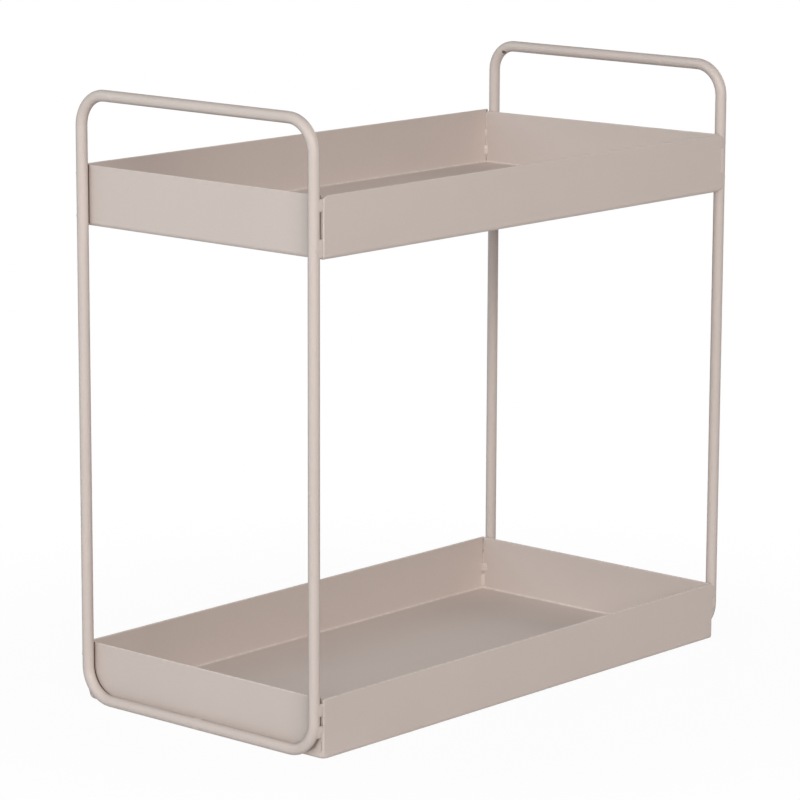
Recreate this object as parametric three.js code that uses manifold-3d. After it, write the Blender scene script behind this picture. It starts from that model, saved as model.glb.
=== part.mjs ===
// A two-tier steel shelf: two folded sheet trays welded between two hoops of round bar.
// Millimetres, +Z up, +X along the trays, -Y the front. The origin is the middle of the footprint.

import * as THREE from 'three';
import { mergeVertices } from 'three/addons/utils/BufferGeometryUtils.js';
import Module from 'manifold-3d';

const wasm = await Module();
wasm.setup();

// Trays: one sheet each, folded up on four sides
const TRAY_LENGTH = 425; // over the end walls
const TRAY_DEPTH = 224; // over the front and back walls
const TRAY_HEIGHT = 42; // underside to rim
const SHEET = 1.5; // steel sheet
const FOLD_RADIUS = 1.5; // inside of the fold between floor and wall
const SEAM_GAP = 0.5; // upright seam where an end wall butts against the front or back wall
const SEAM_RISE = 4; // underside to the seam's lower end

// Hoops: one round bar each, bent to a rounded rectangle and closed by a butt weld
const HOOP_HEIGHT = 430; // over all
const BAR_DIAMETER = 8;
const HOOP_BEND_RADIUS = 22; // to the bar's centre line
const HOOP_SET_BACK = 1.7; // bar's outer side behind the tray's front and back
const HANDLE_CLEARANCE = 45; // upper rim to the bar above it
const CLOSING_WELD_LENGTH = 3;

// Corner tacks: weld deposits outside, in the valley between an upright and a tray's end wall
const TACK_LENGTH = 8;
const TACK_WIDTH = 5; // along the tray
const TACK_THICKNESS = 4.4; // from front to back
const TACK_OUT = 1.2; // end wall to the middle
const TACK_SET_BACK = 2.8; // tray's front or back face to the middle
const RIM_TACK_DROP = 7; // rim to the middle of the upper tack
const BASE_TACK_RISE = 6.5; // underside to the middle of the lower tack
const TACK_BELOW_BEND = 7.5; // lower tray only: bend's start to the middle of the lower tack

// Seam tacks: weld deposits inside, in a tray's upright corner
const SEAM_TACK_LENGTH = 8;
const SEAM_TACK_REACH = 2.6; // from the corner
const FLOOR_TACK_RISE = 6; // floor to the middle of the lower tack

// Fits
const WELD_GAP = 0.3; // bar to wall, and round each deposit
const CUT_MARGIN = 2; // how far a cutting form runs past what it cuts

// Facets
const BAR_SIDES = 16;
const BEND_STEPS = 6;
const FOLD_STEPS = 5;
const TACK_SIDES = 10;
const TACK_RINGS = 6;

// Worked out from the sizes above
const BAR_RADIUS = BAR_DIAMETER / 2;
const FOLD_OUTER_RADIUS = FOLD_RADIUS + SHEET;
const UPPER_TRAY_LEVEL = HOOP_HEIGHT - BAR_DIAMETER - HANDLE_CLEARANCE - TRAY_HEIGHT;
const HOOP_X = TRAY_LENGTH / 2 + WELD_GAP + BAR_RADIUS;
const HOOP_AXIS_Y = TRAY_DEPTH / 2 - HOOP_SET_BACK - BAR_RADIUS;
const HOOP_AXIS_BOTTOM = BAR_RADIUS;
const HOOP_AXIS_TOP = HOOP_HEIGHT - BAR_RADIUS;
const BEND_START = HOOP_AXIS_BOTTOM + HOOP_BEND_RADIUS;

const barCoat = new THREE.MeshStandardMaterial({ color: 0xc9bdb4, roughness: 0.5, metalness: 0.1 });
const sheetCoat = new THREE.MeshStandardMaterial({ color: 0xc1b3a9, roughness: 0.55, metalness: 0.1 });
const weldCoat = new THREE.MeshStandardMaterial({ color: 0xbdb0a6, roughness: 0.6, metalness: 0.1 });

// Moves between three.js geometry and solids that can be joined and cut

function solidOf(geometry) {
  const bare = geometry.clone();
  bare.deleteAttribute('normal');
  bare.deleteAttribute('uv');
  const merged = mergeVertices(bare);
  const mesh = new wasm.Mesh({
    numProp: 3,
    vertProperties: Float32Array.from(merged.attributes.position.array),
    triVerts: Uint32Array.from(merged.index.array),
  });
  return new wasm.Manifold(mesh);
}

function geometryOf(solid) {
  const mesh = solid.getMesh();
  const geometry = new THREE.BufferGeometry();
  geometry.setAttribute('position', new THREE.BufferAttribute(mesh.vertProperties, 3));
  geometry.setIndex(new THREE.BufferAttribute(mesh.triVerts, 1));
  geometry.computeVertexNormals();
  return geometry;
}

const Y = new THREE.Vector3(0, 1, 0);

const ENDS = [
  { name: 'left', sign: -1 },
  { name: 'right', sign: 1 },
];
const SIDES = [
  { name: 'front', sign: -1 },
  { name: 'back', sign: 1 },
];

// Trays

// A prism along Y: a wall-to-wall section whose two lower edges are rounded, as folded sheet is.
function foldedPrism(width, length, bottom, foldRadius) {
  const half = width / 2;
  const top = TRAY_HEIGHT + CUT_MARGIN;
  const shape = new THREE.Shape();
  shape.moveTo(half, top);
  shape.lineTo(-half, top);
  shape.absarc(-half + foldRadius, bottom + foldRadius, foldRadius, Math.PI, 1.5 * Math.PI, false);
  shape.absarc(half - foldRadius, bottom + foldRadius, foldRadius, 1.5 * Math.PI, 2 * Math.PI, false);
  const options = { depth: length, bevelEnabled: false, curveSegments: FOLD_STEPS };
  const geometry = new THREE.ExtrudeGeometry(shape, options);
  geometry.translate(0, 0, -length / 2);
  geometry.rotateX(Math.PI / 2);
  return geometry;
}

// A block whose four lower edges are rounded and mitred at the corners. It runs past the rim.
function foldedBlock(length, depth, bottom, foldRadius) {
  const acrossEnds = foldedPrism(length, depth, bottom, foldRadius);
  const acrossSides = foldedPrism(depth, length, bottom, foldRadius).rotateZ(Math.PI / 2);
  return solidOf(acrossEnds).intersect(solidOf(acrossSides));
}

// The tray's outside, grown by a clearance where it cuts its neighbours.
function trayOutside(grow) {
  return foldedBlock(TRAY_LENGTH + 2 * grow, TRAY_DEPTH + 2 * grow, -grow, FOLD_OUTER_RADIUS + grow);
}

// The tray's inside, drawn in by a clearance where it trims what lies in it.
function trayInside(shrink) {
  const wall = SHEET + shrink;
  return foldedBlock(TRAY_LENGTH - 2 * wall, TRAY_DEPTH - 2 * wall, wall, FOLD_RADIUS - shrink);
}

// The slit that parts an end wall's edge from the inner face of the front or back wall.
function seamCut(endSign, sideSign) {
  const width = SHEET + 2 * CUT_MARGIN;
  const height = TRAY_HEIGHT - SEAM_RISE + CUT_MARGIN;
  const geometry = new THREE.BoxGeometry(width, SEAM_GAP, height);
  geometry.translate(
    endSign * (TRAY_LENGTH / 2 - SHEET / 2),
    sideSign * (TRAY_DEPTH / 2 - SHEET - SEAM_GAP / 2),
    SEAM_RISE + height / 2,
  );
  return solidOf(geometry);
}

function traySolid() {
  const belowRim = new THREE.BoxGeometry(
    TRAY_LENGTH + 2 * CUT_MARGIN,
    TRAY_DEPTH + 2 * CUT_MARGIN,
    TRAY_HEIGHT + CUT_MARGIN,
  );
  belowRim.translate(0, 0, (TRAY_HEIGHT - CUT_MARGIN) / 2);
  let tray = trayOutside(0).subtract(trayInside(0)).intersect(solidOf(belowRim));
  for (const end of ENDS) {
    for (const side of SIDES) {
      tray = tray.subtract(seamCut(end.sign, side.sign));
    }
  }
  return tray;
}

// Hoops

// The bar's centre line: from one end at the middle of the bottom run, round the back, the top and
// the front, to the other end. The straight runs lie between the four bends.
class HoopPath extends THREE.Curve {
  constructor() {
    super();
    const sideways = HOOP_AXIS_Y - HOOP_BEND_RADIUS;
    const end = CLOSING_WELD_LENGTH / 2;
    const bendCentres = [
      [sideways, HOOP_AXIS_BOTTOM + HOOP_BEND_RADIUS],
      [sideways, HOOP_AXIS_TOP - HOOP_BEND_RADIUS],
      [-sideways, HOOP_AXIS_TOP - HOOP_BEND_RADIUS],
      [-sideways, HOOP_AXIS_BOTTOM + HOOP_BEND_RADIUS],
    ];
    this.points = [new THREE.Vector3(0, end, HOOP_AXIS_BOTTOM)];
    this.tangents = [Y.clone()];
    bendCentres.forEach(([y, z], quarter) => {
      for (let step = 0; step <= BEND_STEPS; step += 1) {
        const angle = (Math.PI / 2) * (quarter - 1 + step / BEND_STEPS);
        const out = new THREE.Vector3(0, Math.cos(angle), Math.sin(angle));
        this.points.push(out.clone().multiplyScalar(HOOP_BEND_RADIUS).add(new THREE.Vector3(0, y, z)));
        this.tangents.push(new THREE.Vector3(0, -out.z, out.y));
      }
    });
    this.points.push(new THREE.Vector3(0, -end, HOOP_AXIS_BOTTOM));
    this.tangents.push(Y.clone());
  }

  get steps() {
    return this.points.length - 1;
  }

  getPointAt(u, target = new THREE.Vector3()) {
    return target.copy(this.points[Math.round(u * this.steps)]);
  }

  getTangentAt(u, target = new THREE.Vector3()) {
    return target.copy(this.tangents[Math.round(u * this.steps)]);
  }
}

function hoopGeometry(radius) {
  const path = new HoopPath();
  const corners = [];
  for (let side = 0; side < BAR_SIDES; side += 1) {
    const angle = (2 * Math.PI * side) / BAR_SIDES;
    corners.push(new THREE.Vector2(radius * Math.cos(angle), radius * Math.sin(angle)));
  }
  const options = { steps: path.steps, extrudePath: path, bevelEnabled: false };
  return new THREE.ExtrudeGeometry(new THREE.Shape(corners), options);
}

// Welds

function bead(reachX, reachY, length) {
  const geometry = new THREE.SphereGeometry(1, TACK_SIDES, TACK_RINGS);
  geometry.rotateX(Math.PI / 2);
  geometry.scale(reachX, reachY, length / 2);
  return solidOf(geometry);
}

function cornerTack(centre, tray, hoop) {
  const whole = bead(TACK_WIDTH / 2, TACK_THICKNESS / 2, TACK_LENGTH).translate(centre.toArray());
  return whole.subtract(tray).subtract(hoop);
}

function seamTack(centre, trayRoom) {
  const whole = bead(SEAM_TACK_REACH, SEAM_TACK_REACH, SEAM_TACK_LENGTH).translate(centre.toArray());
  return whole.intersect(trayRoom);
}

// The shelf

function namedMesh(name, geometry, material) {
  const mesh = new THREE.Mesh(geometry, material);
  mesh.name = name;
  return mesh;
}

// A weld's own origin is the middle of its deposit.
function weldMesh(name, solid, centre) {
  const geometry = geometryOf(solid.translate(centre.clone().negate().toArray()));
  const mesh = namedMesh(name, geometry, weldCoat);
  mesh.position.copy(centre);
  return mesh;
}

const LEVELS = [
  { name: 'lower', level: 0, baseTack: BEND_START - TACK_BELOW_BEND },
  { name: 'upper', level: UPPER_TRAY_LEVEL, baseTack: BASE_TACK_RISE },
];

const shelf = new THREE.Group();
shelf.name = 'shelf';

const bar = hoopGeometry(BAR_RADIUS);
const barRoom = solidOf(hoopGeometry(BAR_RADIUS + WELD_GAP));
const closingWeld = new THREE.CylinderGeometry(BAR_RADIUS, BAR_RADIUS, CLOSING_WELD_LENGTH, BAR_SIDES);

for (const end of ENDS) {
  const hoop = new THREE.Group();
  hoop.position.x = end.sign * HOOP_X;
  const weld = namedMesh(`${end.name}_hoop_closing_weld`, closingWeld, weldCoat);
  weld.position.z = HOOP_AXIS_BOTTOM;
  hoop.add(namedMesh(`${end.name}_hoop`, bar, barCoat), weld);
  shelf.add(hoop);
}

const folded = geometryOf(traySolid());
const trayRoom = trayOutside(WELD_GAP);
const insideRoom = trayInside(WELD_GAP);

for (const { name: levelName, level, baseTack } of LEVELS) {
  const tray = new THREE.Group();
  tray.position.z = level;
  tray.add(namedMesh(`${levelName}_tray`, folded, sheetCoat));

  for (const end of ENDS) {
    const hoopRoom = barRoom.translate([end.sign * HOOP_X, 0, -level]);
    for (const side of SIDES) {
      const place = `${levelName}_${end.name}_${side.name}`;

      const jointX = end.sign * (TRAY_LENGTH / 2 + TACK_OUT);
      const jointY = side.sign * (TRAY_DEPTH / 2 - TACK_SET_BACK);
      const rimTack = new THREE.Vector3(jointX, jointY, TRAY_HEIGHT - RIM_TACK_DROP);
      const lowTack = new THREE.Vector3(jointX, jointY, baseTack);
      tray.add(
        weldMesh(`${place}_rim_tack`, cornerTack(rimTack, trayRoom, hoopRoom), rimTack),
        weldMesh(`${place}_base_tack`, cornerTack(lowTack, trayRoom, hoopRoom), lowTack),
      );

      const cornerX = end.sign * (TRAY_LENGTH / 2 - SHEET);
      const cornerY = side.sign * (TRAY_DEPTH / 2 - SHEET);
      const middle = new THREE.Vector3(cornerX, cornerY, TRAY_HEIGHT / 2);
      const floor = new THREE.Vector3(cornerX, cornerY, SHEET + FLOOR_TACK_RISE);
      tray.add(
        weldMesh(`${place}_seam_tack`, seamTack(middle, insideRoom), middle),
        weldMesh(`${place}_floor_tack`, seamTack(floor, insideRoom), floor),
      );
    }
  }
  shelf.add(tray);
}

export default shelf;
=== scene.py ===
# %% [markdown]
# # A two-tier tray shelf, welded from bar and sheet
#
# The shelf is a small piece of steelwork: two hoops of round bar, two trays folded from sheet, and the
# welds that hold them together. It was powder coated in one go after welding, so every surface has the
# same dusty beige coat. The CAD model has each piece as a closed solid, in the right place and size. This
# lesson dresses that frame: each piece is made again with the rounding, open seams and uneven welds that
# show from a step away, and then it gets the coat.
#
# Their box is kept, so that the dressed shelf can be measured against it at the end.

import math

import bmesh
import bpy
from mathutils import Matrix, Vector, noise


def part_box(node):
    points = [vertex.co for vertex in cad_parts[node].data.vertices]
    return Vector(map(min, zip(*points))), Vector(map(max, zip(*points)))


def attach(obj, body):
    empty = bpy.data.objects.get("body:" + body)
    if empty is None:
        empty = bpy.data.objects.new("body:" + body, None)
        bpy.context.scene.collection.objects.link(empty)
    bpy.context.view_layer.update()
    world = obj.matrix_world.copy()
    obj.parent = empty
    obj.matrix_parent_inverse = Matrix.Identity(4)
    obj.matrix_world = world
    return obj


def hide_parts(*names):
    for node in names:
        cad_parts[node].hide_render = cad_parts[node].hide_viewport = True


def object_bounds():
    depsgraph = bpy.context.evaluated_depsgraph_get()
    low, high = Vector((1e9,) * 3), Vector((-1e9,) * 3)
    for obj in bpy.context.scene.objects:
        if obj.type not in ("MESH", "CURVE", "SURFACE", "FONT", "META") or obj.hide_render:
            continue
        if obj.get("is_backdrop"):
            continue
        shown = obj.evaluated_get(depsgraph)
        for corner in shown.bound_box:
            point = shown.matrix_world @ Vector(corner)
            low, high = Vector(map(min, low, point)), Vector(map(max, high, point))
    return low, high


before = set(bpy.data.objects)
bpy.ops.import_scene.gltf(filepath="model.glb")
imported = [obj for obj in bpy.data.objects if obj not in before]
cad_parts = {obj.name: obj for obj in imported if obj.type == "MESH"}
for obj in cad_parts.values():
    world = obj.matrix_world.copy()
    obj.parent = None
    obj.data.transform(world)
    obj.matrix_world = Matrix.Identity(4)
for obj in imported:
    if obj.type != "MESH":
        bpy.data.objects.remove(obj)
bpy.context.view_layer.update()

# %% [markdown]
# ## Sizes
#
# Every size that the CAD model already has is read from it, so the dressed pieces can't drift away from
# the solids. Only what a box can't tell, such as the thickness of the sheet, is written here. One size is
# changed on purpose: bent bar springs open when the bender lets go, so the uprights of a hoop stand a
# millimetre further out than in the solids.

# %% Measure the frame
MM = 0.001                                     # Blender works in metres, steelworkers in millimetres

tray_low, tray_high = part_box("lower_tray")
TRAY_LENGTH, TRAY_DEPTH, TRAY_HEIGHT = tray_high - tray_low
TRAY_LEVELS = {"lower": tray_low.z, "upper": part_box("upper_tray")[0].z}
SHEET = 1.5 * MM

hoop_low, hoop_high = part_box("right_hoop")
BAR_RADIUS = (hoop_high.x - hoop_low.x) / 2
HOOP_X = (hoop_low.x + hoop_high.x) / 2
SPRING = 1 * MM                                # how far each upright springs out
HOOP_DEPTH = hoop_high.y - hoop_low.y - 2 * BAR_RADIUS + 2 * SPRING    # between the bar's middle lines
HOOP_HEIGHT = hoop_high.z - hoop_low.z - 2 * BAR_RADIUS
HOOP_MIDDLE_Z = (hoop_low.z + hoop_high.z) / 2
BEND_RADIUS, TIGHT_RADIUS = 22 * MM, 19 * MM   # of the bar's middle line
print(f"tray {TRAY_LENGTH / MM:.1f} x {TRAY_DEPTH / MM:.1f} x {TRAY_HEIGHT / MM:.1f} mm,",
      f"bar {2 * BAR_RADIUS / MM:.1f} mm, hoop {HOOP_DEPTH / MM:.1f} x {HOOP_HEIGHT / MM:.1f} mm")

# %% [markdown]
# ## Small helpers
#
# Node trees are long to write by hand. `add_node` makes a node, sets its properties and fills its inputs,
# either with a value or with a link from another node. `calc` and `calc_vector` do the same for one step of
# arithmetic and hand back its result. `new_group` makes an empty group with named sockets.
# `settle` does what every finished piece needs: it rides on the shelf's one body, and the CAD pieces that it
# replaces are hidden.

# %% Helpers
def add_node(tree, kind, inputs=None, **settings):
    """Adds a node. Each input is given a value, or a link where the value is another node's socket."""
    node = tree.nodes.new(kind)
    for name, value in settings.items():
        setattr(node, name, value)
    for name, value in (inputs or {}).items():
        if isinstance(value, bpy.types.NodeSocket):
            tree.links.new(value, node.inputs[name])
        else:
            node.inputs[name].default_value = value
    return node


def calc(tree, operation, *values):
    """One step of arithmetic: adds a Math node for these values and returns its result."""
    return add_node(tree, "ShaderNodeMath", dict(enumerate(values)), operation=operation).outputs[0]


def calc_vector(tree, operation, *values):
    """The same for vectors. A length or a distance comes out as a number."""
    node = add_node(tree, "ShaderNodeVectorMath", dict(enumerate(values)), operation=operation)
    return node.outputs["Value" if operation in ("LENGTH", "DISTANCE") else "Vector"]


def mix_colours(tree, share, first, second):
    """Mixes two colours. In a Mix node they are the inputs 6 and 7, and the output 2."""
    mix = add_node(tree, "ShaderNodeMix", {"Factor": share, 6: first, 7: second}, data_type="RGBA")
    return mix.outputs[2]


def new_group(name, kind, inputs, outputs):
    """Makes a node group with these sockets, and returns it with its input and output nodes."""
    tree = bpy.data.node_groups.new(name, kind)
    for direction, sockets in (("INPUT", inputs), ("OUTPUT", outputs)):
        for label, socket_type in sockets.items():
            tree.interface.new_socket(label, in_out=direction, socket_type=f"NodeSocket{socket_type}")
    return tree, tree.nodes.new("NodeGroupInput"), tree.nodes.new("NodeGroupOutput")


def settle(piece, slot, *nodes):
    """Ties a finished piece to the frame."""
    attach(piece, "root")
    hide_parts(*nodes)
    return piece


def new_piece(name, mesh, material):
    """Puts a finished mesh in the scene as an object at the origin."""
    mesh.materials.clear()
    mesh.materials.append(material)
    mesh.shade_smooth()
    piece = bpy.data.objects.new(name, mesh)
    bpy.context.scene.collection.objects.link(piece)
    return piece

# %% [markdown]
# ## The coat: grain
#
# Powder coat goes on as dry dust and melts in an oven. It never flows quite level: close up there is a fine
# grain of about a millimetre, lying on a slower ripple like the skin of an orange. Two noises of those sizes
# make the height for a Bump node, and the same grain makes the shine a little uneven. A node group keeps
# the effect in one place, because bar, sheet and weld all carry it, each with its own sizes.

# %% Group: powder grain
powder_grain, given, made = new_group(
    "Powder grain", "ShaderNodeTree",
    {"Grain Size": "Float", "Ripple Size": "Float", "Ripple Share": "Float", "Shine Middle": "Float",
     "Shine Spread": "Float"},
    {"Height": "Float", "Roughness": "Float"})
where = add_node(powder_grain, "ShaderNodeTexCoord").outputs["Object"]


def noise_of_size(tree, size, detail):
    """A noise whose lumps are about as wide as the size socket says, in metres."""
    scale = calc(tree, "DIVIDE", 1.0, size)
    return add_node(tree, "ShaderNodeTexNoise",
                    {"Vector": where, "Scale": scale, "Detail": detail}).outputs["Fac"]


grain = noise_of_size(powder_grain, given.outputs["Grain Size"], 2.0)
ripple = noise_of_size(powder_grain, given.outputs["Ripple Size"], 1.0)
height = add_node(powder_grain, "ShaderNodeMix",
                  {"Factor": given.outputs["Ripple Share"], "A": grain, "B": ripple})
off_middle = calc(powder_grain, "SUBTRACT", grain, 0.5)
shine = calc(powder_grain, "MULTIPLY_ADD", off_middle, given.outputs["Shine Spread"],
             given.outputs["Shine Middle"])
powder_grain.links.new(height.outputs["Result"], made.inputs["Height"])
powder_grain.links.new(shine, made.inputs["Roughness"])
print("group:", powder_grain.name, "with", len(powder_grain.nodes), "nodes")

# %% [markdown]
# ## The coat: tone, rubbed and highlighted edges, painted shade
#
# The sprayed layer is a little thicker here and thinner there, so the colour drifts by one or two parts in a
# hundred over a hand's width, and single grains of powder melt lighter or darker. Along the cut edges of the
# sheet the melting powder draws back, and hands and crates rub what is left, so an edge is a shade lighter;
# the same lift is also a painted highlight on rims, upright edges and inner folds, where those catch the
# light. Which points lie on an edge is known when a piece is made: each mesh carries it as the attribute
# "edge". A second share mixes in dark steel: bare where the hook hung, and painted shade in the seams and in
# the gap beside the bar.

# %% Group: coat tone
coat_tone, given, made = new_group(
    "Coat tone", "ShaderNodeTree",
    {"Coat Colour": "Color", "Rub And Highlight Colour": "Color", "Edge": "Float", "Drift": "Float", "Speckle": "Float",
     "Shade And Bare Steel Colour": "Color", "Shade And Bare Steel": "Float"},
    {"Colour": "Color"})
where = add_node(coat_tone, "ShaderNodeTexCoord").outputs["Object"]
drift, speckle, edge_patches = (
    add_node(coat_tone, "ShaderNodeTexNoise", {"Vector": where, "Scale": lumps_per_metre, "Detail": detail})
    for lumps_per_metre, detail in ((14.0, 3.0), (900.0, 1.0), (260.0, 3.0)))


def spread_about_one(tree, value, amount):
    """Turns a noise from 0 to 1 into a brightness about 1, as far from it as the amount says."""
    return calc(tree, "MULTIPLY_ADD", calc(tree, "SUBTRACT", value, 0.5), amount, 1.0)


brightness = calc(coat_tone, "MULTIPLY",
                  spread_about_one(coat_tone, drift.outputs["Fac"], given.outputs["Drift"]),
                  spread_about_one(coat_tone, speckle.outputs["Fac"], given.outputs["Speckle"]))
toned = add_node(coat_tone, "ShaderNodeVectorMath",
                 {0: given.outputs["Coat Colour"], "Scale": brightness}, operation="SCALE").outputs[0]
patchy = add_node(coat_tone, "ShaderNodeMapRange",
                  {"Value": edge_patches.outputs["Fac"], "From Min": 0.35, "From Max": 0.65}).outputs["Result"]
# the edge lift: rubbed wear, and a painted highlight on rims, upright edges and inner folds
rub_and_highlight = calc(coat_tone, "MULTIPLY", given.outputs["Edge"], patchy)
colour = mix_colours(coat_tone, rub_and_highlight, toned, given.outputs["Rub And Highlight Colour"])
# mixes in the dark colour: painted shade, and bare steel at the hook mark
colour = mix_colours(coat_tone, given.outputs["Shade And Bare Steel"], colour, given.outputs["Shade And Bare Steel Colour"])
coat_tone.links.new(colour, made.inputs["Colour"])
print("group:", coat_tone.name, "with", len(coat_tone.nodes), "nodes")

# %% [markdown]
# ## The coat: painted shade beside the bar
#
# Where the bar lies against an end wall, the narrow gap between them lies in shade, and past the bar this
# shows as a fine dark line that follows its bends. That shade is painted into the wall's colour. A texture
# image would have to be painted to fit. The line has a rule instead: it is as far from the middle line of the
# hoop as the bar hides, and a hoop is a rectangle with rounded corners, whose distance is a known formula. A
# point is folded into one quarter, moved by the straight parts, and measured from the bend's middle. The
# distance is negative inside the hoop and positive outside it, and each side has its own reach. Outside a
# bend the bar's painted shadow on the wall is wider and paler: there the reach grows and the dark is lighter.

# %% Group: crevice shade
crevice_shade, given, made = new_group(
    "Crevice shade", "ShaderNodeTree",
    {"Middle": "Vector", "Straight Part": "Vector", "Bend Radius": "Float", "Inner Reach": "Float",
     "Outer Reach": "Float", "Bend Growth": "Float", "Bend Share": "Float", "Wall Place": "Float"},
    {"Shade And Bare Steel": "Float"})
where = add_node(crevice_shade, "ShaderNodeTexCoord").outputs["Object"]
folded = calc_vector(crevice_shade, "ABSOLUTE",
                     calc_vector(crevice_shade, "SUBTRACT", where, given.outputs["Middle"]))
moved = calc_vector(crevice_shade, "SUBTRACT", folded, given.outputs["Straight Part"])
axes = add_node(crevice_shade, "ShaderNodeSeparateXYZ", {0: moved}).outputs
inside = calc(crevice_shade, "MINIMUM", calc(crevice_shade, "MAXIMUM", axes["Y"], axes["Z"]), 0.0)
sideways = calc_vector(crevice_shade, "MULTIPLY", moved, (0.0, 1.0, 1.0))
outside = calc_vector(crevice_shade, "MAXIMUM", sideways, (0.0, 0.0, 0.0))
from_bend_middle = calc(crevice_shade, "ADD", calc_vector(crevice_shade, "LENGTH", outside), inside)
distance = calc(crevice_shade, "SUBTRACT", from_bend_middle, given.outputs["Bend Radius"])
axes = add_node(crevice_shade, "ShaderNodeSeparateXYZ", {0: outside}).outputs
in_bend = calc(crevice_shade, "MINIMUM", axes["Y"], axes["Z"])
growth = calc(crevice_shade, "MULTIPLY", in_bend, given.outputs["Bend Growth"])
outer_reach = calc(crevice_shade, "ADD", given.outputs["Outer Reach"], growth)
beyond = calc(crevice_shade, "DIVIDE", distance, outer_reach)
within = calc(crevice_shade, "DIVIDE", distance, given.outputs["Inner Reach"])
away = calc(crevice_shade, "MAXIMUM", beyond, calc(crevice_shade, "MULTIPLY", within, -1.0))
near = add_node(crevice_shade, "ShaderNodeMapRange", {"Value": away, "From Min": 1.0, "From Max": 0.75},
                interpolation_type="SMOOTHSTEP").outputs["Result"]
from_middle = add_node(crevice_shade, "ShaderNodeSeparateXYZ", {0: folded}).outputs["X"]
on_wall = calc(crevice_shade, "GREATER_THAN", from_middle, given.outputs["Wall Place"])
bend_shadow_spread = calc(crevice_shade, "MULTIPLY", growth, calc(crevice_shade, "GREATER_THAN", distance, 0.0))
share = add_node(crevice_shade, "ShaderNodeMapRange",
                 {"Value": bend_shadow_spread, "From Max": 2 * MM, "To Min": 1.0,
                  "To Max": given.outputs["Bend Share"]}).outputs["Result"]
# painted shade beside the bar, and a paler painted shadow outside its bends
shade_and_bare = calc(crevice_shade, "MULTIPLY", calc(crevice_shade, "MULTIPLY", near, on_wall), share)
crevice_shade.links.new(shade_and_bare, made.inputs["Shade And Bare Steel"])
print("group:", crevice_shade.name, "with", len(crevice_shade.nodes), "nodes")

# %% [markdown]
# One place on the bar is bare: in the coating line the shelf hung from a hook, and inside a top bend of the
# right hoop the hook left a dark mark of a few millimetres. It is a spot about a point on the bar, with a
# ragged rim from a noise.

# %% Group: hook mark
hook_mark, given, made = new_group(
    "Hook mark", "ShaderNodeTree", {"Place": "Vector", "Size": "Float"}, {"Shade And Bare Steel": "Float"})
where = add_node(hook_mark, "ShaderNodeTexCoord").outputs["Object"]
distance = calc_vector(hook_mark, "DISTANCE", where, given.outputs["Place"])
ragged = add_node(hook_mark, "ShaderNodeTexNoise", {"Vector": where, "Scale": 700.0, "Detail": 2.0})
distance = calc(hook_mark, "MULTIPLY", distance, calc(hook_mark, "ADD", ragged.outputs["Fac"], 0.5))
inner_size = calc(hook_mark, "MULTIPLY", given.outputs["Size"], 0.6)
shade_and_bare = add_node(hook_mark, "ShaderNodeMapRange",
                {"Value": distance, "From Min": given.outputs["Size"], "From Max": inner_size},
                interpolation_type="SMOOTHSTEP")
hook_mark.links.new(shade_and_bare.outputs["Result"], made.inputs["Shade And Bare Steel"])
print("group:", hook_mark.name, "with", len(hook_mark.nodes), "nodes")

# %% [markdown]
# ## The coat: three materials
#
# Bar, sheet and weld are the same colour. They differ in how smooth the steel is under the coat: drawn bar is
# the smoothest, sheet shows more grain where light grazes it, and welds are rough. The bar's colour is also
# painted darker towards its limbs, a painted shade for the dim far side of the studio, which is all that the
# coat can mirror there: a Layer Weight does that. Colours are written in sRGB, as a colour picker shows them,
# and turned into the linear values that shaders use.

# %% Materials
def linear(red, green, blue):
    """A colour from sRGB numbers of 0 to 255, as linear RGBA."""
    values = [v / 255 for v in (red, green, blue)]
    return (*[v / 12.92 if v <= 0.04045 else ((v + 0.055) / 1.055) ** 2.4 for v in values], 1.0)


COAT_COLOUR = linear(199, 186, 178)
RUB_AND_HIGHLIGHT_COLOUR = linear(212, 201, 193)
# dark steel: bare at the hook mark, and also the colour of the painted shade in the seams and beside the bar
SHADE_AND_BARE_COLOUR = linear(104, 91, 85)
LIMB_SHADE_COLOUR = linear(158, 145, 138)
straight_part = Vector((0.0, HOOP_DEPTH / 2 - BEND_RADIUS, HOOP_HEIGHT / 2 - BEND_RADIUS))

HOOK_TURN = math.radians(62)                   # how far round the bend the hook hung
HOOK_SIDE, HOOK_INSIDE = -0.66, -0.75          # where on the bar, in bar radii: along x, and out of the bend
bend_middle = Vector((HOOP_X, HOOP_DEPTH / 2 - TIGHT_RADIUS,
                      HOOP_MIDDLE_Z + HOOP_HEIGHT / 2 - TIGHT_RADIUS))
outwards = Vector((0.0, math.cos(HOOK_TURN), math.sin(HOOK_TURN)))
hook_place = (bend_middle + outwards * TIGHT_RADIUS
              + (Vector((HOOK_SIDE, 0.0, 0.0)) + HOOK_INSIDE * outwards) * BAR_RADIUS)


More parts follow.
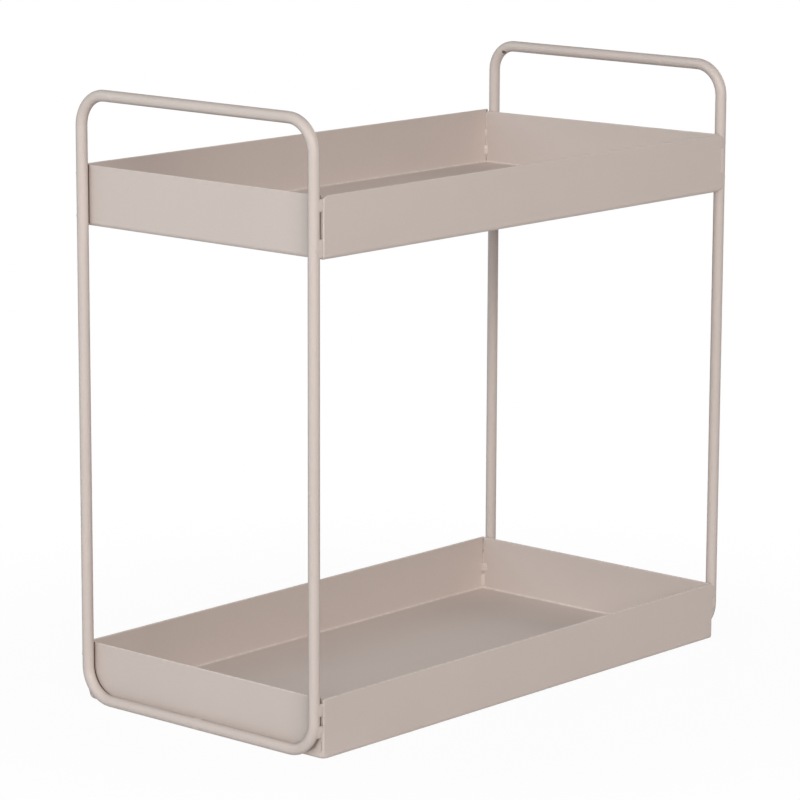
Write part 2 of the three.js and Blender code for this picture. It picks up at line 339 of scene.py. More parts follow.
def coat_material(name, grain_size, ripple_share, relief, roughness, shade_and_bare_group, shade_and_bare_values, limb_shade):
    """The powder coat over one kind of steel. Relief is the height of its grain, in metres."""
    material = bpy.data.materials.new(name)
    material.use_nodes = True
    tree = material.node_tree
    tree.nodes.clear()
    edge = add_node(tree, "ShaderNodeAttribute", attribute_name="edge").outputs["Fac"]
    # the dark share: painted shade of the seams from the mesh and beside the bar from the crevice group; on
    # the bar the real hook mark
    shade_and_bare = add_node(tree, "ShaderNodeAttribute", attribute_name="shade_and_bare").outputs["Fac"]
    if shade_and_bare_group:
        place = add_node(tree, "ShaderNodeGroup", shade_and_bare_values, node_tree=shade_and_bare_group)
        shade_and_bare = calc(tree, "MAXIMUM", shade_and_bare, place.outputs["Shade And Bare Steel"])
    tone = add_node(tree, "ShaderNodeGroup", {
        "Coat Colour": COAT_COLOUR, "Rub And Highlight Colour": RUB_AND_HIGHLIGHT_COLOUR, "Edge": edge, "Drift": 0.05,
        "Speckle": 0.06, "Shade And Bare Steel Colour": SHADE_AND_BARE_COLOUR, "Shade And Bare Steel": shade_and_bare}, node_tree=coat_tone)
    # painted shade: the bar's colour darkens towards its limbs
    facing = add_node(tree, "ShaderNodeLayerWeight", {"Blend": 0.5}).outputs["Facing"]
    facing = add_node(tree, "ShaderNodeMapRange",
                      {"Value": facing, "From Min": 0.35, "From Max": 1.0, "To Max": limb_shade})
    colour = mix_colours(tree, facing.outputs["Result"], tone.outputs["Colour"], LIMB_SHADE_COLOUR)
    grain_node = add_node(tree, "ShaderNodeGroup", {
        "Grain Size": grain_size, "Ripple Size": 4 * MM, "Ripple Share": ripple_share,
        "Shine Middle": roughness, "Shine Spread": 0.15}, node_tree=powder_grain)
    bump = add_node(tree, "ShaderNodeBump", {"Height": grain_node.outputs["Height"], "Distance": relief})
    coat = add_node(tree, "ShaderNodeBsdfPrincipled",
                    {"Base Color": colour, "Roughness": grain_node.outputs["Roughness"],
                     "Normal": bump.outputs["Normal"], "IOR": 1.5})
    add_node(tree, "ShaderNodeOutputMaterial", {"Surface": coat.outputs["BSDF"]})
    print("material:", name)
    return material


BAR_COAT = coat_material(
    "bar_coat", 1.0 * MM, 0.5, 0.02 * MM, 0.5, hook_mark, {"Place": hook_place, "Size": 2.0 * MM}, limb_shade=0.9)
# the sheet's colour carries the painted shade beside the bar
SHEET_COAT = coat_material(
    "sheet_coat", 1.3 * MM, 0.4, 0.04 * MM, 0.55, crevice_shade,
    {"Middle": (0.0, 0.0, HOOP_MIDDLE_Z), "Straight Part": straight_part, "Bend Radius": BEND_RADIUS,
     "Inner Reach": 2.7 * MM, "Outer Reach": 2.35 * MM, "Bend Growth": 0.15, "Bend Share": 0.6,
     "Wall Place": TRAY_LENGTH / 2 - 0.4 * MM}, limb_shade=0.0)
WELD_COAT = coat_material("weld_coat", 0.9 * MM, 0.3, 0.05 * MM, 0.5, None, {}, limb_shade=0.0)

# %% [markdown]
# ## Running a Geometry Nodes tree
#
# A tree is put on an empty object as a modifier, its inputs are set by the sockets' identifiers, and the
# evaluated result is copied to a plain mesh. The modifier and its carrier are then gone, so what is left
# is an ordinary mesh with its place in its points.

# %% Tree runner
def run_tree(tree, name, values):
    """Evaluates a tree with these input values and returns the result as a mesh."""
    carrier = bpy.data.objects.new(name, bpy.data.meshes.new(name))
    bpy.context.scene.collection.objects.link(carrier)
    modifier = carrier.modifiers.new(tree.name, "NODES")
    modifier.node_group = tree
    for socket in tree.interface.items_tree:
        if socket.in_out == "INPUT":
            modifier[socket.identifier] = values[socket.name]
    depsgraph = bpy.context.evaluated_depsgraph_get()
    mesh = bpy.data.meshes.new_from_object(carrier.evaluated_get(depsgraph), depsgraph=depsgraph)
    bpy.data.objects.remove(carrier)
    mesh.name = name
    return mesh

# %% [markdown]
# ## The hoops
#
# Each end of the shelf is one bar of 8 mm steel, bent four times into a rounded rectangle and closed by a
# weld. A swept tube could be made with a bevelled curve or in bmesh. Its shape follows a rule, a rectangle
# with rounded corners, so here a Geometry Nodes tree draws it: a quadrilateral curve is filleted at its
# corners, cut into even steps, and swept with a circle. Bends made by hand differ a little, so one corner
# can have a tighter radius than the others.

# %% Tree: bent bar
bent_bar, given, made = new_group(
    "Bent bar", "GeometryNodeTree",
    {"Depth": "Float", "Height": "Float", "Bend Radius": "Float", "Tight Corner": "Int",
     "Tight Radius": "Float", "Bar Radius": "Float", "Sides": "Int", "Step": "Float",
     "Middle": "Vector", "Coat": "Material"},
    {"Bar": "Geometry"})
outline = add_node(bent_bar, "GeometryNodeCurvePrimitiveQuadrilateral",
                   {"Width": given.outputs["Depth"], "Height": given.outputs["Height"]})
corner = add_node(bent_bar, "GeometryNodeInputIndex")
is_tight = add_node(bent_bar, "FunctionNodeCompare",
                    {2: corner.outputs[0], 3: given.outputs["Tight Corner"]},
                    data_type="INT", operation="EQUAL")
bend = add_node(bent_bar, "GeometryNodeSwitch",
                {"Switch": is_tight.outputs[0], "False": given.outputs["Bend Radius"],
                 "True": given.outputs["Tight Radius"]}, input_type="FLOAT")
rounded = add_node(bent_bar, "GeometryNodeFilletCurve",
                   {"Curve": outline.outputs[0], "Count": 24, "Radius": bend.outputs[0]}, mode="POLY")
stepped = add_node(bent_bar, "GeometryNodeResampleCurve",
                   {"Curve": rounded.outputs[0], "Length": given.outputs["Step"]}, mode="LENGTH")
section = add_node(bent_bar, "GeometryNodeCurvePrimitiveCircle",
                   {"Resolution": given.outputs["Sides"], "Radius": given.outputs["Bar Radius"]})
swept = add_node(bent_bar, "GeometryNodeCurveToMesh",
                 {"Curve": stepped.outputs[0], "Profile Curve": section.outputs[0]})
upright = add_node(bent_bar, "GeometryNodeTransform",
                   {"Geometry": swept.outputs[0], "Translation": given.outputs["Middle"],
                    "Rotation": (math.radians(90), 0.0, math.radians(90))})
real = add_node(bent_bar, "GeometryNodeRealizeInstances", {"Geometry": upright.outputs[0]})
coated = add_node(bent_bar, "GeometryNodeSetMaterial",
                  {"Geometry": real.outputs[0], "Material": given.outputs["Coat"]})
bent_bar.links.new(coated.outputs[0], made.inputs["Bar"])
print("tree:", bent_bar.name, "with", len(bent_bar.nodes), "nodes")

# %% Bend the two hoops
NO_CORNER = -1                                 # no corner of the curve has this number
BACK_TOP_CORNER = 0

for side, sign, tight_corner in (("left", -1, NO_CORNER), ("right", 1, BACK_TOP_CORNER)):
    mesh = run_tree(bent_bar, f"{side}_hoop_bar", {
        "Depth": HOOP_DEPTH, "Height": HOOP_HEIGHT, "Bend Radius": BEND_RADIUS,
        "Tight Corner": tight_corner, "Tight Radius": TIGHT_RADIUS, "Bar Radius": BAR_RADIUS,
        "Sides": 32, "Step": 2.5 * MM, "Middle": (sign * HOOP_X, 0.0, HOOP_MIDDLE_Z), "Coat": BAR_COAT})
    hoop = settle(new_piece(f"{side}_hoop_bar", mesh, BAR_COAT), "bar_coat", f"{side}_hoop")
    print(hoop.name, "has", len(mesh.polygons), "faces")

# %% [markdown]
# ## The hoops' closing welds
#
# The two ends of each bent bar meet in the middle of the lower run. The weld there is ground flush before
# coating, and all that shows is a faint uneven band. It is a short sleeve, made ring by ring in bmesh: its
# ends lie just under the bar's surface, so it grows out of the bar without a step.

# %% Closing welds
WELD_BAND = 7 * MM                             # the ground band is wider than the weld itself
BAND_PROUD = 0.09 * MM
BAND_SUNK = 0.25                               # how far its ends lie under the bar, against that height
BAND_UNEVEN = 0.6
BAND_RINGS, BAND_SIDES = 15, 32

for side, sign in (("left", -1), ("right", 1)):
    node = f"{side}_hoop_closing_weld"
    low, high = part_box(node)
    middle = (low + high) / 2
    bm = bmesh.new()
    rings = []
    for i in range(BAND_RINGS):
        along = i / (BAND_RINGS - 1) - 0.5
        swell = math.cos(math.pi * along) - BAND_SUNK
        ring = []
        for k in range(BAND_SIDES):
            angle = math.tau * k / BAND_SIDES
            out = Vector((math.cos(angle), 0.0, math.sin(angle)))
            uneven = noise.noise(out * 2.2 + Vector((sign * 3.0, along * 9.0, 0.0)))
            radius = BAR_RADIUS + BAND_PROUD * swell * (1 + BAND_UNEVEN * uneven)
            ring.append(bm.verts.new(middle + out * radius + Vector((0.0, along * WELD_BAND, 0.0))))
        rings.append(ring)
    for below, above in zip(rings, rings[1:]):
        for k in range(BAND_SIDES):
            after = (k + 1) % BAND_SIDES
            bm.faces.new((below[k], below[after], above[after], above[k]))
    for ring in (rings[0], rings[-1]):
        bm.faces.new(ring)
    bmesh.ops.recalc_face_normals(bm, faces=bm.faces)
    mesh = bpy.data.meshes.new(f"{side}_hoop_ground_weld")
    bm.to_mesh(mesh)
    bm.free()
    settle(new_piece(mesh.name, mesh, WELD_COAT), "weld_coat", node)
    print(mesh.name, "at", [round(v / MM, 1) for v in middle], "mm")

# %% [markdown]
# ## The trays: the section of a wall
#
# A tray is one sheet with its four sides folded up. A box with a Solidify and a Bevel modifier would come
# close, but the corners of the real one show how it is folded: the front and back walls run the full length,
# and the end walls butt against them. So the cut end of a long wall shows at each corner, and beside it a
# seam. The tray is lofted in bmesh from rings.
#
# First comes the section through one wall, as rows of (how far in from the outer face, height, edge). It
# runs from the underside round the fold, up the outer face, over the rim, and down the inner face to the
# floor. At the base the corners are ground round by hand, some of the lower tray more than the others. The
# first row lies further in than all of that, so it is a plain rectangle. Corners are counted anticlockwise
# from the back right.

# %% Wall rows
FOLD_RADIUS = 1.5 * MM                         # inside the fold
RIM_ROUNDING = 0.45 * MM
# the rims carry rubbed wear and a painted highlight
RIM_RUB_AND_HIGHLIGHT = {"lower": 1.0, "upper": 0.3}         # the goods slide over the lower rims, and rub them
# painted highlight: the middle of each inner fold is painted lighter, where the fold's curve catches the
# light
FOLD_HIGHLIGHT = 0.8                                 # in the middle of an inner fold
FOLD_STEPS, RIM_STEPS = 8, 3
FACE_HEIGHTS = [v * MM for v in (3.8, 6.5, 7.5, 9, 12, 13, 20, 29, 30, 37, 40, 41.1)]
BASE_ROUNDING = {"lower": (2 * MM, 4.5 * MM, 6 * MM, 1 * MM), "upper": (1.5 * MM,) * 4}
FLAT_MARGIN = 1 * MM                           # how far past the fold the flat underside surely begins
fold_centre = FOLD_RADIUS + SHEET              # the same from the outer face and from the underside


def wall_rows(is_outer, tier):
    """Rows (inset, height, edge) of one face of the wall, from the floor up to the rim."""
    radius = fold_centre if is_outer else FOLD_RADIUS
    face, inwards = (0.0, 1) if is_outer else (SHEET, -1)
    rows = []
    for i in range(FOLD_STEPS + 1):
        turn = math.radians(90) * i / FOLD_STEPS
        # painted highlight along the middle of the inner fold
        painted_highlight = 0.0 if is_outer else FOLD_HIGHLIGHT * math.sin(2 * turn)
        rows.append((fold_centre - radius * math.sin(turn), fold_centre - radius * math.cos(turn), painted_highlight))
    rows += [(face, height, 0.0) for height in FACE_HEIGHTS]
    for i in range(RIM_STEPS + 1):
        turn = math.radians(90) * i / RIM_STEPS
        rows.append((face + inwards * RIM_ROUNDING * (1 - math.cos(turn)),
                     TRAY_HEIGHT - RIM_ROUNDING * (1 - math.sin(turn)), RIM_RUB_AND_HIGHLIGHT[tier]))
    return rows


def tray_rows(tier):
    """All rows of a tray in order, each with True for the outer face and False for the inner one."""
    outer = [(*row, True) for row in wall_rows(True, tier)]
    furthest_in = max(*BASE_ROUNDING[tier], fold_centre + FLAT_MARGIN)
    outer.insert(0, (furthest_in, 0.0, 0.0, True))
    return outer + [(*row, False) for row in wall_rows(False, tier)[::-1]]


print(len(tray_rows("lower")), "rows from the underside over the rim to the floor")

# %% [markdown]
# ## The trays: the seams
#
# A seam is welded for most of its height. Where it is open it is a slit: inside the lower tray near the rim,
# inside the upper tray near the floor. Outside, it is a fine groove under the welds. At the rim it ends in a
# notch. Slits, grooves and notches are darkened with painted shade. The free corners of the front walls are
# clipped, more on the upper tray. One rim isn't level: on the right end of the upper tray it falls towards
# the back, so the back wall's corner stands above it.

# %% Seam shape
SEAM_WIDTH = 0.7 * MM
SEAM_PLACE = 2.3 * MM                          # outside, from the front or back face to the seam's middle
SLITS = {"lower": (29.5 * MM, TRAY_HEIGHT), "upper": (2.0 * MM, 7.0 * MM)}
SLIT_DEPTH, GROOVE_DEPTH, BEAD_DEPTH = 0.8 * MM, 0.45 * MM, -0.2 * MM
GROOVE_TOP, NOTCH_HEIGHT = 12.5 * MM, 1.5 * MM
RIM_NOTCH = 1.2 * MM
RIM_CLIP = {"lower": (1.0 * MM, 2.5 * MM), "upper": (2.2 * MM, 4.5 * MM)}    # how deep, how long
RIM_FALL = {"lower": 0.0, "upper": 1.6 * MM}   # of the right end's rim, from front to back
DIP_REACH = 6 * MM                             # how far below the rim its dips are felt


def seam_at(height, is_outer, tier):
    """How deep the seam lies at a height, and how much painted shade darkens it. A proud weld has a negative
    depth.
    """
    if height > TRAY_HEIGHT - NOTCH_HEIGHT:
        return SLIT_DEPTH * 0.5, 1.0
    if is_outer:
        return (GROOVE_DEPTH, 0.6) if height < GROOVE_TOP else (0.0, 0.0)
    low, high = SLITS[tier]
    return (SLIT_DEPTH, 1.0) if low < height < high else (BEAD_DEPTH, 0.0)


def rim_dip(tier, place, on_end_wall, on_seam):
    """How far the rim lies below its level at a place."""
    if on_end_wall:
        return RIM_FALL[tier] * (0.5 + place.y / TRAY_DEPTH) if place.x > 0 else 0.0
    clip_depth, clip_length = RIM_CLIP[tier]
    from_end = TRAY_LENGTH / 2 - abs(place.x)
    clipped = clip_depth * max(1 - from_end / clip_length, 0.0) ** 2 if place.y < 0 else 0.0
    return clipped + (RIM_NOTCH if on_seam else 0.0)


print("seams:", [seam_at(v * MM, False, "lower") for v in (10, 35)], "inside the lower tray")

# %% [markdown]
# ## The trays: the columns of a ring
#
# Seen from above, each row is a ring: a rectangle whose corners are eased by an arc. The arc is small on the
# walls and grows towards a ground foot. Inside the folds the arcs run out and the corners become mitres.
# Outside, a long wall keeps its full length down to the base, while the end wall beside it is already folding
# under: so near a corner the ring has its own inset along x, the end inset. Columns stand closest at the
# seams, whose two middle columns are drawn in by the depth of the seam. Along the straight sides there are
# enough columns for the sheet to bow, as thin steel does.

# %% Ring columns
EDGE_ROUNDING = 0.7 * MM                       # of the upright edges
# the upright edges carry rubbed wear and a painted highlight
EDGE_RUB_AND_HIGHLIGHT = {"lower": 0.2, "upper": 0.6}        # how much the upright edges are rubbed
FOOT_HEIGHT = 8 * MM                           # up to here the corners are ground round
FAN = (0, 22.5, 45, 67.5, 90)                  # angles of the columns round an upright edge
RUN_STEP = 16 * MM
CORNERS = ((1, 1), (-1, 1), (-1, -1), (1, -1))  # signs of x and y, anticlockwise from the back right


def side_places(length, near_corner):
    """Where the columns of a side stand: a few near each corner, even steps between."""
    first, last = near_corner[-1], length - near_corner[-1]
    steps = round((last - first) / RUN_STEP)
    middle = [first + (last - first) * i / steps for i in range(1, steps)]
    return [*near_corner, *middle, *[length - place for place in near_corner[::-1]]]


def end_places(seam):
    """The columns of an end wall. The first four from each corner lie across the seam."""
    across = [seam + share * SEAM_WIDTH for share in (-0.5, -0.25, 0.25, 0.5)]
    return side_places(TRAY_DEPTH, [*across, 7 * MM, 14 * MM])


LONG_PLACES = side_places(TRAY_LENGTH, [1.6 * MM, 3.0 * MM, 4.6 * MM, 7 * MM, 14 * MM])
END_PLACES = {True: end_places(SEAM_PLACE), False: end_places(SHEET + SEAM_WIDTH / 2)}


def end_inset(inset, height, is_outer, base):
    """How far the end of a long wall lies in from the tray's end, at a corner with this base rounding."""
    if not is_outer or inset > fold_centre:
        return inset
    radius = min(base, fold_centre)
    return radius - math.sqrt(radius ** 2 - max(radius - height, 0.0) ** 2)


def ring_points(inset, height, is_outer, tier):
    """The points of a row in order, as (place, edge, painted shade). Points that fall together are all given.
    """
    ground = [base * max(1 - height / FOOT_HEIGHT, 0.0) for base in BASE_ROUNDING[tier]]
    end_insets = [end_inset(inset, height, is_outer, base) for base in BASE_ROUNDING[tier]]
    reaches = [[max(own, EDGE_ROUNDING, foot) if is_outer else own for own, foot in zip(insets, ground)]
               for insets in (end_insets, [inset] * 4)]
    seam_depth, seam_shade = seam_at(height, is_outer, tier)
    near_rim = min(max((height - TRAY_HEIGHT + DIP_REACH) / DIP_REACH, 0.0), 1.0)
    points = []

    def add(place, edge=0.0, on_end_wall=False, on_seam=False):
        dip = rim_dip(tier, place, on_end_wall, on_seam)
        points.append((place + Vector((0.0, 0.0, height - dip * near_rim)), edge, seam_shade * on_seam))

    for quarter, (sign_x, sign_y) in enumerate(CORNERS):
        reach_x, reach_y = (reach[quarter] for reach in reaches)
        outermost = Vector((sign_x * TRAY_LENGTH / 2, sign_y * TRAY_DEPTH / 2, 0.0))
        centre = outermost - Vector((sign_x * reach_x, sign_y * reach_y, 0.0))
        for angle in FAN:
            out = Matrix.Rotation(math.radians(90 * quarter + angle), 3, "Z") @ Vector((1.0, 0.0, 0.0))
            arc = Vector((out.x * (reach_x - end_insets[quarter]), out.y * (reach_y - inset), 0.0))
            add(centre + arc, edge=EDGE_RUB_AND_HIGHLIGHT[tier] if is_outer else 0.0)
        along = Vector((-out.y, out.x, 0.0))
        is_long = quarter % 2 == 0
        places = LONG_PLACES if is_long else END_PLACES[is_outer]
        length = TRAY_LENGTH if is_long else TRAY_DEPTH
        reach, next_reach = (reaches[0 if is_long else 1][(quarter + step) % 4] for step in (0, 1))
        for column, distance in enumerate(places):
            from_corner = min(column, len(places) - 1 - column)
            is_cut_end = not is_long and from_corner == 0
            own_inset = end_insets[(quarter + (column > 0)) % 4] if is_cut_end else inset
            place = outermost + along * min(max(distance, reach), length - next_reach) - out * own_inset
            on_seam = not is_long and from_corner in (1, 2) and reach < distance < length - next_reach
            if on_seam:
                place += out * (-seam_depth if is_outer else seam_depth)
            add(place, on_end_wall=not is_long and from_corner > 2, on_seam=on_seam)
    return points


print(len(ring_points(0.0, 0.0, True, "lower")), "columns in a ring")

# %% [markdown]
# ## The trays: lofting
#
# Faces join each row to the next. The floor of the tray and its underside are grids inside the first and the
# last ring. The sheet is then bowed by a slow noise, a few tenths of a millimetre, always upwards under the
# floor so that the tray still stands flat at its folds. The folds are shaded smooth, the slits sharp.

# %% Loft a tray
BOW = 0.3 * MM
BOW_WAVES = (9.0, 9.0, 4.0)                    # waves of the noise to a metre, along x, y and z
FLOOR_CLEAR, WALL_CLEAR = 40 * MM, 60 * MM     # within this of a fold or corner the sheet bows less
BOW_SEED = 31
TOUCHING = 0.001 * MM                          # points closer than this are one


def loft_rows(bm, tier):
    """Makes the points and the faces of the folded walls, and returns the rows of points."""
    edge_layer = bm.verts.layers.float.new("edge")
    seam_shade_layer = bm.verts.layers.float.new("shade_and_bare")
    rows = []
    for inset, height, row_edge, is_outer in tray_rows(tier):
        row = []
        for place, edge, shade_and_bare in ring_points(inset, height, is_outer, tier):
            falls_on = [vert for vert in (*row[-1:], *row[:1]) if (vert.co - place).length < TOUCHING]
            row.append(falls_on[0] if falls_on else bm.verts.new(place))
            # edge lift: rubbed wear and painted highlight
            row[-1][edge_layer] = max(edge, row_edge)
            # painted shade in the seams' slits, grooves and notches
            row[-1][seam_shade_layer] = shade_and_bare
        rows.append(row)
    count = len(rows[0])
    for below, above in zip(rows, rows[1:]):
        for k in range(count):
            corners = [below[k], below[(k + 1) % count], above[(k + 1) % count], above[k]]
            corners = list(dict.fromkeys(corners))
            if len(corners) > 2:
                bm.faces.new(corners)
    return rows


def fill_grid(bm, ring):
    """Fills the rectangle inside a ring with a grid of faces."""
    points = list(dict.fromkeys(ring))
    back_line = points[0].co.y - TOUCHING
    across = sum(point.co.y > back_line for point in points) - 1
    deep = len(points) // 2 - across
    back = points[:across + 1]
    left = points[across:across + deep + 1]
    front = points[across + deep:2 * across + deep + 1][::-1]
    right = [*points[2 * across + deep:], points[0]][::-1]
    lines = [back]
    for j in range(1, deep):
        line = [right[j]]
        for i in range(1, across):
            line.append(bm.verts.new((back[i].co.x, right[j].co.y, back[i].co.z)))
        lines.append([*line, left[j]])
    lines.append(front)
    for near, far in zip(lines, lines[1:]):
        for i in range(across):
            bm.faces.new((near[i], near[i + 1], far[i + 1], far[i]))


def bow_sheet(bm, seed):
    """Bows the floor upwards and the walls in and out, least near the corners."""
    for vert in bm.verts:
        x, y, z = vert.co
        from_end, from_side = TRAY_LENGTH / 2 - abs(x), TRAY_DEPTH / 2 - abs(y)
        slow = noise.noise(Vector(BOW_WAVES) * vert.co + Vector((0.0, 0.0, seed)))
        if z < fold_centre and min(from_end, from_side) > 2 * fold_centre:
            clear = min(from_end, from_side) / FLOOR_CLEAR
            vert.co.z += BOW * (0.5 + 0.5 * slow) * min(clear, 1.0)
        elif z > fold_centre:
            lift = (z - fold_centre) / (TRAY_HEIGHT - fold_centre)
            if from_side < SHEET * 1.01:
                vert.co.y += BOW * slow * lift * min(from_end / WALL_CLEAR, 1.0)
            elif from_end < SHEET * 1.01:
                vert.co.x += BOW * slow * lift * min(from_side / WALL_CLEAR, 1.0)


for tier, level in TRAY_LEVELS.items():
    bm = bmesh.new()
    rows = loft_rows(bm, tier)
    fill_grid(bm, rows[0])
    fill_grid(bm, rows[-1])
    bow_sheet(bm, seed=level * BOW_SEED)
    bmesh.ops.translate(bm, vec=(0.0, 0.0, level), verts=bm.verts)
    bmesh.ops.recalc_face_normals(bm, faces=bm.faces)
    loose = sum(not edge.is_manifold for edge in bm.edges)
    mesh = bpy.data.meshes.new(f"{tier}_tray_sheet")
    bm.to_mesh(mesh)
    bm.free()
    piece = settle(new_piece(mesh.name, mesh, SHEET_COAT), "sheet_coat", f"{tier}_tray")
    piece.data.set_sharp_from_angle(angle=math.radians(40))
    print(mesh.name, "has", len(mesh.polygons), "faces and", loose, "open edges")

# %% [markdown]
# ## The welds
#
# Short tack welds tie each upright to the tray corners, and others close the seams inside. A tack is a small
# puddle of molten steel: outside it fills the valley between bar and tray, inside it is smeared flat into the
# corner. It is rippled across its length and never the same twice. The shape follows a rule and repeats 32
# times: a Geometry Nodes tree takes a ball of faces, fills out its ends, ripples and roughens it, stretches
# it, tilts it, turns it and puts it in its place. Each weld has its own seed.

# %% Tree: tack weld
tack_weld, given, made = new_group(
    "Tack weld", "GeometryNodeTree",
    {"Half Size": "Vector", "Turn": "Float", "Middle": "Vector", "Ripples": "Float", "Ripple Height": "Float",
     "Lumps": "Float", "Fullness": "Float", "Tilt": "Float", "Seed": "Float", "Coat": "Material"},
    {"Weld": "Geometry"})
ball = add_node(tack_weld, "GeometryNodeMeshIcoSphere", {"Radius": 1.0, "Subdivisions": 5})
place = add_node(tack_weld, "GeometryNodeInputPosition").outputs[0]
along = add_node(tack_weld, "ShaderNodeSeparateXYZ", {0: place}).outputs["Z"]
wave = calc(tack_weld, "MULTIPLY_ADD", along, given.outputs["Ripples"], given.outputs["Seed"])
wave = calc(tack_weld, "SINE", wave)
wave = calc(tack_weld, "MULTIPLY_ADD", wave, given.outputs["Ripple Height"], 1.0)
lumps = add_node(tack_weld, "ShaderNodeTexNoise",
                 {"Vector": place, "W": given.outputs["Seed"], "Scale": 1.6, "Detail": 1.0},
                 noise_dimensions="4D")
lumps = calc(tack_weld, "SUBTRACT", lumps.outputs["Fac"], 0.5)
size = calc(tack_weld, "MULTIPLY_ADD", lumps, given.outputs["Lumps"], wave)
near_ends = calc(tack_weld, "MULTIPLY", along, along)
full = calc(tack_weld, "MULTIPLY_ADD", near_ends, given.outputs["Fullness"], 1.0)
thick = calc(tack_weld, "MULTIPLY", size, calc(tack_weld, "SQRT", full))
spread = add_node(tack_weld, "ShaderNodeCombineXYZ", {"X": thick, "Y": thick, "Z": 1.0}).outputs[0]
formed = calc_vector(tack_weld, "MULTIPLY", calc_vector(tack_weld, "MULTIPLY", place, spread),
                     given.outputs["Half Size"])
tilted = calc(tack_weld, "MULTIPLY", along, given.outputs["Tilt"])
tilted = add_node(tack_weld, "ShaderNodeCombineXYZ", {"Y": tilted}).outputs[0]
formed = calc_vector(tack_weld, "ADD", formed, tilted)
turned = add_node(tack_weld, "ShaderNodeVectorRotate",
                  {"Vector": formed, "Axis": (0.0, 0.0, 1.0), "Angle": given.outputs["Turn"]}).outputs[0]
placed = calc_vector(tack_weld, "ADD", turned, given.outputs["Middle"])
shaped = add_node(tack_weld, "GeometryNodeSetPosition",
                  {"Geometry": ball.outputs[0], "Position": placed})
real = add_node(tack_weld, "GeometryNodeRealizeInstances", {"Geometry": shaped.outputs[0]})
coated = add_node(tack_weld, "GeometryNodeSetMaterial",
                  {"Geometry": real.outputs[0], "Material": given.outputs["Coat"]})
tack_weld.links.new(coated.outputs[0], made.inputs["Weld"])
print("tree:", tack_weld.name, "with", len(tack_weld.nodes), "nodes")

# %% [markdown]
# A weld takes its height from the CAD weld that it stands for, lifted by a listed amount. How it is shaped
# depends on its kind. Those at the rim and the base bridge the valley between the bar and the tray's corner:
# they are flat, leave the bar at a tangent and run into the edge of the tray. The lowest are tilted, because
# there the bar bends away. Those in the seams are thin smears deep in the inner corner, and taper to nothing.

# %% Lay the tack welds
# Half sizes across, through and along; out from the tray's end, in from its side, lift; lean in degrees; and
# how far the lower end lies further in. All but the lean are in millimetres.
TACKS = {
    ("lower", "rim"): (4.8, 1.0, 4.4, 2.3, 1.35, -0.4, -39, 0.0),
    ("lower", "base"): (4.6, 1.0, 4.6, 2.5, 2.25, 0.8, -30, 1.2),
    ("lower", "seam"): (3.4, 0.7, 3.6, -2.0, 3.3, -3.0, 28, 0.0),
    ("lower", "floor"): (2.2, 0.6, 5.0, -2.0, 2.3, 0.0, 12, 0.0),
    ("upper", "rim"): (4.8, 1.0, 4.3, 2.3, 1.4, 0.8, -39, 0.0),
    ("upper", "base"): (4.8, 1.0, 6.3, 2.3, 1.35, 1.2, -39, 0.0),
    ("upper", "seam"): (1.4, 0.4, 2.4, -1.7, 1.9, 3.5, 0, 0.0),
    ("upper", "floor"): (2.0, 0.8, 4.0, -2.1, 2.2, 3.4, 0, 0.0),
}
SEED_STEP = 1.7
tacks = sorted(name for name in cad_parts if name.endswith("_tack"))
for number, node in enumerate(tacks):
    low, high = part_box(node)
    tier, _, _, kind, _ = node.split("_")
    across, through, along, out, inwards, lift, lean, tilt = TACKS[tier, kind]
    sign_x, sign_y = math.copysign(1, low.x), math.copysign(1, low.y)
    in_seam = kind in ("seam", "floor")
    mesh = run_tree(tack_weld, f"{node}_bead", {
        "Half Size": (across * MM, through * MM, along * MM),
        "Turn": math.radians(-45 - lean) * sign_x * sign_y,
        "Middle": (sign_x * (TRAY_LENGTH / 2 + out * MM), sign_y * (TRAY_DEPTH / 2 - inwards * MM),
                   (low.z + high.z) / 2 + lift * MM),
        "Ripples": 9.0, "Ripple Height": 0.03, "Lumps": 0.7 if in_seam else 0.3,
        "Fullness": 0.2 if in_seam else 0.6, "Tilt": tilt * MM * sign_y, "Seed": number * SEED_STEP,
        "Coat": WELD_COAT})
    settle(new_piece(mesh.name, mesh, WELD_COAT), "weld_coat", node)
print(len(tacks), "tack welds laid")

# %% [markdown]
# ## Floor and background
#
# The shelf stands on a white floor that has no visible end. Seen by the camera, and in reflections, floor
# and world are white. The floor mixes in a little of its own lit surface near the shelf, so that the shelf's
# shadow still shows there, and fades to plain white further out. The light that the world sends to the
# shelf is set apart from that, so that the background adds no light.

# %% Floor and world
FLOOR_SIZE = 30.0
FLOOR_DROP = 0.3 * MM                          # keeps the floor clear of the tray's underside
SHADOW_SHARE = 0.05
SHADOW_CORE, SHADOW_REACH = 0.2, 0.55          # full share up to here, none from there on
AMBIENT = 0.06


def seen_directly(tree):
    """1 for rays that carry the background to the camera, straight or through gloss and glass."""
    path = add_node(tree, "ShaderNodeLightPath")
    seen = path.outputs["Is Camera Ray"]
    for kind in ("Is Glossy Ray", "Is Transmission Ray"):
        seen = calc(tree, "MAXIMUM", seen, path.outputs[kind])
    return seen


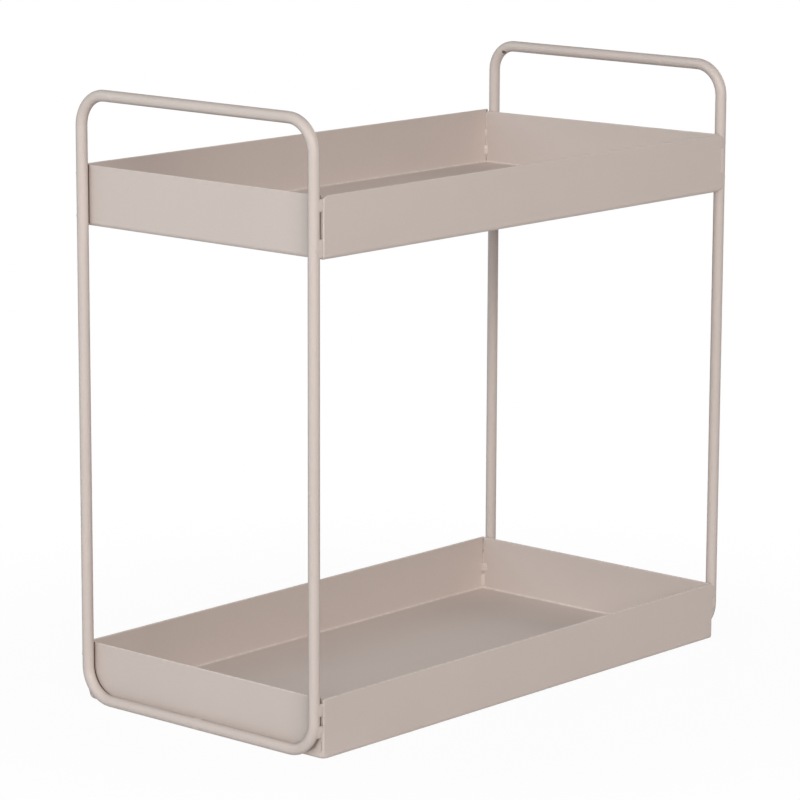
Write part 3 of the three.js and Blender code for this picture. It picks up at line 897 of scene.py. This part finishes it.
floor_mesh = bpy.data.meshes.new("floor")
half = FLOOR_SIZE / 2
floor_mesh.from_pydata([(-half, -half, -FLOOR_DROP), (half, -half, -FLOOR_DROP), (half, half, -FLOOR_DROP),
                        (-half, half, -FLOOR_DROP)], [], [(0, 1, 2, 3)])
floor_white = bpy.data.materials.new("floor_white")
floor_white.use_nodes = True
tree = floor_white.node_tree
tree.nodes.clear()
where = add_node(tree, "ShaderNodeTexCoord").outputs["Object"]
distance = calc_vector(tree, "LENGTH", where)
whiteness = add_node(tree, "ShaderNodeMapRange",
                     {"Value": distance, "From Min": SHADOW_CORE, "From Max": SHADOW_REACH,
                      "To Min": 1 - SHADOW_SHARE, "To Max": 1.0}, interpolation_type="SMOOTHSTEP")
share = calc(tree, "MULTIPLY", seen_directly(tree), whiteness.outputs["Result"])
lit = add_node(tree, "ShaderNodeBsdfDiffuse", {"Color": (0.85, 0.85, 0.85, 1.0)})
white = add_node(tree, "ShaderNodeEmission", {"Color": (1.0, 1.0, 1.0, 1.0), "Strength": 1.0})
surface = add_node(tree, "ShaderNodeMixShader", {0: share, 1: lit.outputs[0], 2: white.outputs[0]})
add_node(tree, "ShaderNodeOutputMaterial", {"Surface": surface.outputs[0]})
floor_mesh.materials.append(floor_white)
floor = bpy.data.objects.new("floor", floor_mesh)
bpy.context.scene.collection.objects.link(floor)
floor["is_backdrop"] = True

world = bpy.data.worlds.new("studio")
world.use_nodes = True
bpy.context.scene.world = world
tree = world.node_tree
tree.nodes.clear()
strength = add_node(tree, "ShaderNodeMapRange",
                    {"Value": seen_directly(tree), "To Min": AMBIENT, "To Max": 1.0})
backdrop = add_node(tree, "ShaderNodeBackground",
                    {"Color": (1.0, 1.0, 1.0, 1.0), "Strength": strength.outputs["Result"]})
add_node(tree, "ShaderNodeOutputWorld", {"Surface": backdrop.outputs[0]})
print("floor", FLOOR_SIZE, "m wide; ambient light", AMBIENT)

# %% [markdown]
# ## Light
#
# The photograph's light is soft and comes from the left, at the height of the shelf: the end walls are the
# lightest faces, the front walls come next, and the tray floors, which look up, are the darkest. Large area
# lamps copy that. Their strength is kept at a level where a colour renders about as it is written.

# %% Lamps
AIM = Vector((0.0, 0.0, 0.21))
LAMP_WIDTH, LAMP_HEIGHT = 3.0, 2.0
LAMPS = {                                      # name: place, watts, colour
    "key_softbox": ((-2.64, -3.77, 2.16), 172.0, (1.0, 0.98, 0.97)),
    "left_softbox": ((-4.49, 0.0, 2.40), 76.0, (0.89, 0.96, 1.0)),
    "back_softbox": ((0.0, 4.49, 2.40), 14.0, (1.0, 0.97, 0.97)),
    "right_softbox": ((4.64, 0.0, 2.08), 55.0, (1.0, 0.96, 0.95)),
    "back_left_softbox": ((-3.55, 2.98, 2.08), 34.0, (0.83, 0.92, 1.0)),
}
for name, (place, watts, colour) in LAMPS.items():
    lamp = bpy.data.lights.new(name, "AREA")
    lamp.shape = "RECTANGLE"
    lamp.size, lamp.size_y = LAMP_WIDTH, LAMP_HEIGHT
    lamp.energy = watts
    lamp.color = colour
    holder = bpy.data.objects.new(name, lamp)
    holder.location = place
    holder.rotation_euler = (AIM - Vector(place)).to_track_quat("-Z", "Y").to_euler()
    bpy.context.scene.collection.objects.link(holder)
    print("lamp:", name, watts, "W")

# %% [markdown]
# ## Camera
#
# The photograph was taken from a few metres away with a long lens, from the front left and a little above:
# its upright lines stay nearly parallel. Place, turn and lens come from matching the shelf's edges.

# %% Camera
CAMERA_PLACE = (-1.9895, -1.7531, 0.7277)
CAMERA_TURN, CAMERA_DOWN, CAMERA_ROLL = (math.radians(v) for v in (-48.45, 11.32, 0.22))

camera = bpy.data.cameras.new("photo_camera")
camera.sensor_width = 36.0
camera.lens = 170.98
photo_camera = bpy.data.objects.new("photo_camera", camera)
photo_camera.matrix_world = (
    Matrix.Translation(CAMERA_PLACE)
    @ Matrix.Rotation(CAMERA_TURN, 4, "Z")
    @ Matrix.Rotation(math.radians(90) - CAMERA_DOWN, 4, "X")
    @ Matrix.Rotation(CAMERA_ROLL, 4, "Z"))
bpy.context.scene.collection.objects.link(photo_camera)
bpy.context.scene.camera = photo_camera
bpy.context.scene.view_settings.view_transform = "Standard"
print("camera:", camera.lens, "mm lens")

# %% [markdown]
# ## Measure and finish
#
# The dressed shelf has to keep to the box of the CAD model, give or take the bow of its sheet.

# %% Finish
low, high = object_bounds()
print("visual box:", [round(v, 4) for v in (*low, *high)])
